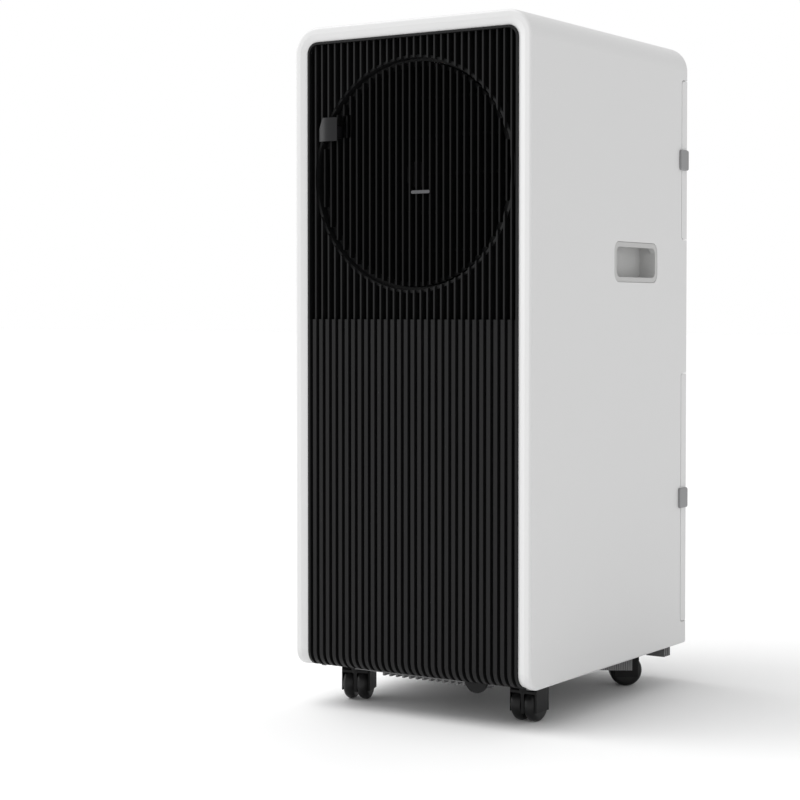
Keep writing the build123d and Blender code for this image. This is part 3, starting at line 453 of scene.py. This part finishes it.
BASE_GREY = Finish(
    "base_grey_plastic", (0.17, 0.17, 0.172), 0.5, 900.0, 0.00003, 0.4, 0.2, 0.1, 14.0
)
CASTER_BLACK = Finish(
    "caster_hood_black", (0.004, 0.004, 0.0042), 0.38, 900.0, 0.00001, 0.7, 0.15, 0.08, 25.0,
    specular=0.2,
)
WHEEL_BLACK = Finish(
    "caster_wheel_black", (0.005, 0.005, 0.0052), 0.3, 700.0, 0.00001, 0.8, 0.2, 0.12, 30.0,
    specular=0.3,
)
MARK_WHITE = Finish("printed_mark_white", (0.75, 0.75, 0.75), 0.5, 1500.0)
LAMP_BLUE = Finish("indicator_blue", (0.05, 0.25, 0.6), 0.2, 900.0, 0.000002)

SLOT_FINISHES: dict[str, Finish] = {
    "casing": WHITE_PAINT,
    "rear_white": WHITE_MOULDING,
    "panel_white": WHITE_MOULDING,
    "front_black": BLACK_FRONT,
    "gloss_black": GLOSS_BLACK,
    "trim_silver": SILVER_TRIM,
    "dark_plastic": DARK_PLASTIC,
    "motor_steel": MOTOR_PAINT,
    "shaft_steel": GROUND_STEEL,
    "coil_aluminium": FIN_ALUMINIUM,
    "copper": COPPER,
    "foam_grey": PALE_FOAM,
    "grey_plastic": MID_GREY,
    "screw_steel": SCREW_STEEL,
    "rubber_grey": GREY_RUBBER,
    "rubber_black": BLACK_RUBBER,
    "screen_grey": SCREEN_GREY,
    "tab_grey": TAB_GREY,
    "compressor_black": COMPRESSOR_PAINT,
    "box_steel": BOX_GREY,
    "capacitor_aluminium": CAN_ALUMINIUM,
    "display_black": DISPLAY_GLASS,
    "board_green": BOARD_GREEN,
    "button_grey": BUTTON_GREY,
    "base_black": BASE_GREY,
    "caster_plastic": CASTER_BLACK,
    "wheel_black": WHEEL_BLACK,
}
NODE_FINISHES: dict[str, Finish] = {
    # Round grille: the darker copy of the front black, painted shade.
    "outlet_disc": BLACK_GRILLE_PAINTED_SHADE,
    # Finger recesses: painted shade in place of the casing white.
    "handle_left": RECESS_PAINTED_SHADE,
    "handle_right": RECESS_PAINTED_SHADE,
}
EXTRA_FINISHES: tuple[Finish, ...] = (*NODE_FINISHES.values(), MARK_WHITE, LAMP_BLUE)

materials: dict[str, bpy.types.Material] = {}


# --------------------------------------------------------------- modelling helpers


def middle_of(node: str) -> Vector:
    """Middle of a CAD node's box."""
    low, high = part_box(node)
    return (Vector(low) + Vector(high)) / 2


def deselect_all() -> None:
    """Leave object mode with nothing selected."""
    if bpy.context.object and bpy.context.object.mode != "OBJECT":
        bpy.ops.object.mode_set(mode="OBJECT")
    bpy.ops.object.select_all(action="DESELECT")


def pick_faces(piece: bpy.types.Object, wanted: Callable[[bmesh.types.BMFace], bool]) -> None:
    """Select only the faces that pass a test, in edit mode.

    Args:
        piece: the object, in edit mode.
        wanted: test of a face.
    """
    bpy.ops.mesh.select_mode(type="FACE")
    bpy.ops.mesh.select_all(action="DESELECT")
    mesh = bmesh.from_edit_mesh(piece.data)
    for face in mesh.faces:
        face.select_set(wanted(face))
    bmesh.update_edit_mesh(piece.data)


def settle(piece: bpy.types.Object, turn: bool = True) -> None:
    """Put an object's place, turn and scale into its mesh, normals outwards.

    Args:
        piece: the object.
        turn: True to make the normals face outwards again.
    """
    deselect_all()
    piece.select_set(True)
    bpy.context.view_layer.objects.active = piece
    bpy.ops.object.transform_apply(location=True, rotation=True, scale=True)
    if turn:
        bpy.ops.object.mode_set(mode="EDIT")
        bpy.ops.mesh.select_all(action="SELECT")
        bpy.ops.mesh.normals_make_consistent(inside=False)
        bpy.ops.object.mode_set(mode="OBJECT")
    bpy.ops.object.shade_smooth_by_angle(angle=math.radians(35))


def round_edges(piece: bpy.types.Object, width: float, segments: int = 2) -> None:
    """Bevel the sharp edges of a piece and apply the modifier.

    Args:
        piece: the object.
        width: width of the bevel.
        segments: number of steps across it.
    """
    bevel = piece.modifiers.new("edge", "BEVEL")
    bevel.width = width
    bevel.segments = segments
    bevel.limit_method = "ANGLE"
    bevel.angle_limit = math.radians(40)
    deselect_all()
    piece.select_set(True)
    bpy.context.view_layer.objects.active = piece
    bpy.ops.object.modifier_apply(modifier=bevel.name)


def join_pieces(parts: Iterable[bpy.types.Object], name: str) -> bpy.types.Object:
    """Join several objects into one.

    Args:
        parts: the objects.
        name: name of the result.

    Returns:
        The joined object.
    """
    listed = list(parts)
    deselect_all()
    for part in listed:
        part.select_set(True)
    bpy.context.view_layer.objects.active = listed[0]
    bpy.ops.object.join()
    joined = listed[0]
    joined.name = name
    joined.data.name = name
    return joined


def place_piece(
    piece: bpy.types.Object, name: str, finish: Finish, body: str
) -> None:
    """Name a finished piece, give it its finish and join it to a body.

    Args:
        piece: the object.
        name: its name.
        finish: its finish.
        body: the CAD body it rides on.
    """
    piece.name = name
    piece.data.name = name
    piece.data.materials.clear()
    piece.data.materials.append(materials[finish.name])
    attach(piece, body)


# ------------------------------------------------------------------ sub-assemblies


@dataclass
class CasterDetail:
    """Hub caps on the outer faces of the caster wheels.

    Attributes:
        radius: radius of a hub cap.
        proud: half the thickness of a hub cap.
        reach: from the middle of a caster to the outer face of a wheel.
        sunk: share of proud by which a cap is let into the wheel.
        rings: number of sides round the cap.
    """

    radius: float = 0.0078
    proud: float = 0.0003
    reach: float = 0.0135
    sunk: float = 0.4
    rings: int = 40

    def cap(self, centre: Vector, outward: Vector) -> bpy.types.Object:
        """Model one dished hub cap.

        Args:
            centre: middle of the wheel's outer face.
            outward: which way the face looks.

        Returns:
            The cap.
        """
        deselect_all()
        bpy.ops.mesh.primitive_cylinder_add(
            vertices=self.rings,
            radius=self.radius,
            depth=2 * self.proud,
            location=centre,
            rotation=outward.to_track_quat("Z", "Y").to_euler(),
        )
        piece = bpy.context.object
        bpy.ops.object.transform_apply(location=True, rotation=True, scale=True)
        bpy.ops.object.mode_set(mode="EDIT")
        pick_faces(piece, lambda face: face.normal.dot(outward) > 0.9)
        bpy.ops.mesh.inset(thickness=self.radius * 0.16, depth=0.0)
        bpy.ops.mesh.inset(thickness=self.radius * 0.06, depth=-self.proud * 0.9)
        bpy.ops.mesh.inset(thickness=self.radius * 0.42, depth=0.0)
        bpy.ops.mesh.inset(thickness=self.radius * 0.06, depth=self.proud * 0.6)
        bpy.ops.object.mode_set(mode="OBJECT")
        round_edges(piece, self.proud * 0.25)
        return piece

    def build(self) -> None:
        """Add the caps to all four casters."""
        joints = {joint["child"]: joint for joint in frame["record"]["behaviour"]["joints"]}
        for corner in CORNERS:
            joint = joints[f"wheels_{corner}"]
            caps = []
            for side in Side:
                outward = side.value * Vector(joint["axis"]).normalized()
                centre = Vector(joint["pos_m"]) + outward * (self.reach - self.sunk * self.proud)
                caps.append(self.cap(centre, outward))
            piece = join_pieces(caps, f"hub_caps_{corner}")
            settle(piece)
            place_piece(
                piece, f"hub_caps_{corner}", CASTER_BLACK, f"wheels_{corner}"
            )
            log.info("hub caps %s", corner)


@dataclass
class ControlMarks:
    """Plain raised marks on the buttons and a row of indicator lamps beside them.

    Attributes:
        line: width of a mark's lines.
        height: how far a mark stands above its button.
        lamp_radius: radius of an indicator lamp.
    """

    line: float = 0.0006
    height: float = 0.00008
    lamp_radius: float = 0.0011

    def bar(self, centre: Vector, length: float, turn: float) -> bpy.types.Object:
        """Model one straight stroke.

        Args:
            centre: middle of the stroke.
            length: its length.
            turn: its turn about Z, in radians.

        Returns:
            The stroke.
        """
        deselect_all()
        bpy.ops.mesh.primitive_cube_add(size=1.0, location=centre, rotation=(0.0, 0.0, turn))
        piece = bpy.context.object
        piece.scale = (length, self.line, self.height)
        bpy.ops.object.transform_apply(location=True, rotation=True, scale=True)
        round_edges(piece, self.height * 0.4, 1)
        return piece

    def ring(self, centre: Vector, radius: float, open_angle: float) -> bpy.types.Object:
        """Model a ring stroke with a gap at its back.

        Args:
            centre: middle of the ring.
            radius: its middle radius.
            open_angle: angle of the gap, in radians.

        Returns:
            The ring.
        """
        deselect_all()
        bpy.ops.mesh.primitive_plane_add(size=1.0, location=(0.0, 0.0, 0.0))
        piece = bpy.context.object
        piece.scale = (self.line, self.height, 1.0)
        piece.rotation_euler = (math.pi / 2, 0.0, 0.0)
        bpy.ops.object.transform_apply(location=True, rotation=True, scale=True)
        turn = math.pi / 2 + open_angle / 2
        piece.location = centre + Vector((radius * math.cos(turn), radius * math.sin(turn), 0.0))
        piece.rotation_euler = (0.0, 0.0, turn)
        bpy.ops.object.transform_apply(location=True, rotation=True, scale=True)
        bpy.ops.object.mode_set(mode="EDIT")
        bpy.ops.mesh.select_all(action="SELECT")
        full = open_angle <= 0.0
        bpy.ops.mesh.spin(
            steps=36, angle=2 * math.pi - open_angle, center=centre, axis=(0.0, 0.0, 1.0)
        )
        if full:
            bpy.ops.mesh.select_all(action="SELECT")
            bpy.ops.mesh.remove_doubles(threshold=0.00001)
            bpy.ops.mesh.select_all(action="DESELECT")
            bpy.ops.mesh.select_interior_faces()
            bpy.ops.mesh.delete(type="FACE")
        bpy.ops.object.mode_set(mode="OBJECT")
        return piece

    def mark(self, icon: Icon, centre: Vector) -> list[bpy.types.Object]:
        """Model the strokes of one button's mark.

        Args:
            icon: which mark.
            centre: middle of the button's top, at the height of the strokes.

        Returns:
            The strokes.
        """
        if icon is Icon.POWER:
            stem = centre + Vector((0.0, 0.0016, 0.0))
            return [
                self.ring(centre, 0.0022, math.radians(70)),
                self.bar(stem, 0.0022, math.pi / 2),
            ]
        if icon is Icon.MODE:
            rows = (-0.0014, 0.0, 0.0014)
            return [self.bar(centre + Vector((0.0, y, 0.0)), 0.0044, 0.0) for y in rows]
        if icon is Icon.FAN:
            turns = (0.0, math.pi / 3, 2 * math.pi / 3)
            return [self.bar(centre, 0.0048, turn) for turn in turns]
        if icon is Icon.COOLER:
            return [self.bar(centre, 0.0046, 0.0)]
        return [
            self.bar(centre + Vector((-0.00135, 0.0, 0.0)), 0.0019, 0.0),
            self.bar(centre + Vector((0.00135, 0.0, 0.0)), 0.0019, 0.0),
            self.bar(centre, 0.0046, math.pi / 2),
        ]

    def lamps(self) -> bpy.types.Object:
        """Model the row of domed lamps behind the buttons.

        Returns:
            The lamps as one object.
        """
        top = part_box("control_panel")[1][2]
        domes = []
        for name in BUTTONS:
            middle = middle_of(f"button_{name}")
            deselect_all()
            bpy.ops.mesh.primitive_uv_sphere_add(
                segments=20,
                ring_count=10,
                radius=self.lamp_radius,
                location=(middle.x, middle.y + 0.0125, top),
            )
            dome = bpy.context.object
            dome.scale = (1.0, 1.0, 0.25)
            bpy.ops.object.transform_apply(location=True, rotation=True, scale=True)
            domes.append(dome)
        return join_pieces(domes, "indicator_lamps")

    def build(self) -> None:
        """Add the marks and the lamps."""
        for icon in Icon:
            button = f"button_{icon.value}"
            middle = middle_of(button)
            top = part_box(button)[1][2]
            centre = Vector((middle.x, middle.y, top + self.height * 0.3))
            piece = join_pieces(self.mark(icon, centre), f"mark_{icon.value}")
            settle(piece)
            place_piece(piece, f"mark_{icon.value}", MARK_WHITE, button)
            log.info("mark %s", icon.value)
        lamps = self.lamps()
        settle(lamps)
        place_piece(lamps, "indicator_lamps", LAMP_BLUE, "body")
        log.info("indicator lamps")


@dataclass
class FilterMesh:
    """Woven screens stretched in the two filter frames.

    Attributes:
        pitch: distance between threads.
        thread: thickness of a thread.
    """

    pitch: float = 0.004
    thread: float = 0.0007

    def build(self) -> None:
        """Add a woven screen to each filter."""
        for name in ("upper", "lower"):
            low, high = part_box(f"{name}_filter")
            width = high[0] - low[0] - 0.012
            height = high[2] - low[2] - 0.014
            centre = ((low[0] + high[0]) / 2, high[1] - 0.0056, (low[2] + high[2]) / 2)
            deselect_all()
            bpy.ops.mesh.primitive_grid_add(
                x_subdivisions=round(width / self.pitch),
                y_subdivisions=round(height / self.pitch),
                size=1.0,
                location=centre,
                rotation=(math.pi / 2, 0.0, 0.0),
            )
            piece = bpy.context.object
            piece.scale = (width, height, 1.0)
            bpy.ops.object.transform_apply(location=True, rotation=True, scale=True)
            threads = piece.modifiers.new("threads", "WIREFRAME")
            threads.thickness = self.thread
            threads.use_boundary = True
            bpy.ops.object.modifier_apply(modifier=threads.name)
            settle(piece, turn=False)
            place_piece(
                piece, f"{name}_filter_threads", SCREEN_GREY, f"{name}_cover"
            )
            log.info("filter threads %s", name)


@dataclass
class CollarLugs:
    """Bayonet lugs inside the exhaust collar.

    Attributes:
        count: number of lugs.
        width: size round the collar.
        depth: size towards the middle.
        length: size along the collar.
    """

    count: int = 3
    width: float = 0.014
    depth: float = 0.0022
    length: float = 0.004

    def build(self) -> None:
        """Add the lugs."""
        low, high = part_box("exhaust_collar")
        centre = middle_of("exhaust_collar")
        bore = 0.0625
        lugs = []
        for index in range(self.count):
            turn = math.radians(90 + 360 / self.count * index)
            radius = bore - self.depth / 2 + 0.0004
            place = (
                centre.x + radius * math.cos(turn),
                high[1] - 0.008,
                centre.z + radius * math.sin(turn),
            )
            deselect_all()
            bpy.ops.mesh.primitive_cube_add(size=1.0, location=place, rotation=(0.0, -turn, 0.0))
            lug = bpy.context.object
            lug.scale = (self.depth, self.length, self.width)
            bpy.ops.object.transform_apply(location=True, rotation=True, scale=True)
            round_edges(lug, 0.0006)
            lugs.append(lug)
        piece = join_pieces(lugs, "collar_lugs")
        settle(piece)
        place_piece(piece, "collar_lugs", MID_GREY, "body")
        log.info("collar lugs")


@dataclass
class Studio:
    """Floor, lights, surroundings and camera.

    Attributes:
        floor_size: side of the floor.
        floor_colour: colour of the floor.
        ambient: strength of the even light.
        camera_place: place of the camera.
        camera_pitch: how far it looks down, in degrees.
        camera_yaw: its turn about Z, in degrees.
        lens: focal length for a 36 mm sensor.
        lift: vertical shift of the lens.
        key_place: place of the lamp on the left.
        key_aim: the point it faces.
        key_size: its width and height.
        key_power: its power in watts.
        sun_heading: where the sun stands, in degrees from the front towards the left.
        sun_height: how high it stands, in degrees.
        sun_spread: how wide it is, in degrees.
        sun_strength: its strength.
    """

    floor_size: float = 60.0
    floor_colour: Triple = (0.93, 0.93, 0.93)
    ambient: float = 0.71
    camera_place: Triple = (1.06455, -1.80823, 0.40885)
    camera_pitch: float = 1.482
    camera_yaw: float = 33.347
    lens: float = 88.02
    lift: float = -0.04726
    key_place: Triple = (-2.6, -1.4, 1.5)
    key_aim: Triple = (0.0, 0.0, 0.4)
    key_size: tuple[float, float] = (1.6, 2.2)
    key_power: float = 22.0
    sun_heading: float = 60.0
    sun_height: float = 62.0
    sun_spread: float = 55.0
    sun_strength: float = 1.55

    def floor(self) -> None:
        """Lay a plain pale floor."""
        deselect_all()
        bpy.ops.mesh.primitive_plane_add(size=self.floor_size, location=(0.0, 0.0, 0.0))
        piece = bpy.context.object
        piece.name = "studio_floor"
        material = bpy.data.materials.new("studio_floor")
        material.use_nodes = True
        shader = material.node_tree.nodes["Principled BSDF"]
        shader.inputs["Base Color"].default_value = (*self.floor_colour, 1.0)
        shader.inputs["Roughness"].default_value = 0.6
        shader.inputs["Specular IOR Level"].default_value = 0.2
        piece.data.materials.append(material)

    def surroundings(self) -> None:
        """Light everything evenly, with a plain white backdrop."""
        world = bpy.data.worlds.new("studio_white")
        bpy.context.scene.world = world
        world.use_nodes = True
        tree = world.node_tree
        even = tree.nodes["Background"]
        even.inputs["Color"].default_value = (1.0, 1.0, 1.0, 1.0)
        even.inputs["Strength"].default_value = self.ambient
        backdrop = tree.nodes.new("ShaderNodeBackground")
        backdrop.inputs["Color"].default_value = (1.0, 1.0, 1.0, 1.0)
        backdrop.inputs["Strength"].default_value = 1.0
        path = tree.nodes.new("ShaderNodeLightPath")
        mix = tree.nodes.new("ShaderNodeMixShader")
        output = tree.nodes["World Output"]
        tree.links.new(path.outputs["Is Camera Ray"], mix.inputs[0])
        tree.links.new(even.outputs[0], mix.inputs[1])
        tree.links.new(backdrop.outputs[0], mix.inputs[2])
        tree.links.new(mix.outputs[0], output.inputs["Surface"])

    def lamp(self, name: str, place: Triple, aim: Triple, size: tuple[float, float], power: float) -> None:
        """Add a soft rectangular lamp.

        Args:
            name: name of the lamp.
            place: where it stands.
            aim: the point it faces.
            size: its width and height.
            power: its power in watts.
        """
        data = bpy.data.lights.new(name, "AREA")
        data.shape = "RECTANGLE"
        data.size, data.size_y = size
        data.energy = power
        piece = bpy.data.objects.new(name, data)
        bpy.context.scene.collection.objects.link(piece)
        piece.location = place
        piece.rotation_euler = (Vector(aim) - Vector(place)).to_track_quat("-Z", "Y").to_euler()

    def sun(self, name: str) -> None:
        """Add a wide soft sun.

        Args:
            name: name of the lamp.
        """
        data = bpy.data.lights.new(name, "SUN")
        data.energy = self.sun_strength
        data.angle = math.radians(self.sun_spread)
        piece = bpy.data.objects.new(name, data)
        bpy.context.scene.collection.objects.link(piece)
        tilt = math.radians(90.0 - self.sun_height)
        piece.rotation_euler = (tilt, 0.0, math.radians(-self.sun_heading))

    def camera(self) -> None:
        """Place the camera."""
        data = bpy.data.cameras.new("camera")
        data.lens = self.lens
        data.sensor_width = 36.0
        data.shift_y = self.lift
        data.clip_end = 200.0
        piece = bpy.data.objects.new("camera", data)
        bpy.context.scene.collection.objects.link(piece)
        piece.location = self.camera_place
        piece.rotation_euler = (
            math.radians(90.0 - self.camera_pitch),
            0.0,
            math.radians(self.camera_yaw),
        )
        bpy.context.scene.camera = piece

    def build(self) -> None:
        """Set up the whole studio."""
        scene = bpy.context.scene
        scene.view_settings.view_transform = "Standard"
        scene.view_settings.look = "None"
        self.floor()
        self.surroundings()
        self.lamp("key_left", self.key_place, self.key_aim, self.key_size, self.key_power)
        self.sun("overhead")
        self.camera()
        log.info("studio")


def dress_frame() -> None:
    """Give every CAD node the finish of its material slot, except the nodes in NODE_FINISHES, whose darker
    copies paint shade on the round grille and the finger recesses.
    """
    slots = {entry["node"]: entry["material_slot"] for entry in frame["record"]["subparts"]}
    for name, piece in frame["nodes"].items():
        finish = NODE_FINISHES.get(name, SLOT_FINISHES[slots[name]])
        material = materials[finish.name]
        if piece.material_slots:
            for slot in piece.material_slots:
                slot.material = material
        else:
            piece.data.materials.append(material)
    log.info("dressed %d CAD nodes", len(frame["nodes"]))


def main() -> None:
    """Build the finishes, the detail and the studio in order."""
    logging.basicConfig(level=logging.INFO, format="%(message)s")
    EFFECTS["moulded_grain"] = make_grain()
    EFFECTS["surface_drift"] = make_drift()
    EFFECTS["settled_dust"] = make_dust()
    for finish in (*SLOT_FINISHES.values(), *EXTRA_FINISHES):
        if finish.name not in materials:
            materials[finish.name] = finish.build()
    dress_frame()
    CasterDetail().build()
    ControlMarks().build()
    FilterMesh().build()
    CollarLugs().build()
    Studio().build()


if __name__ == "__main__":
    main()
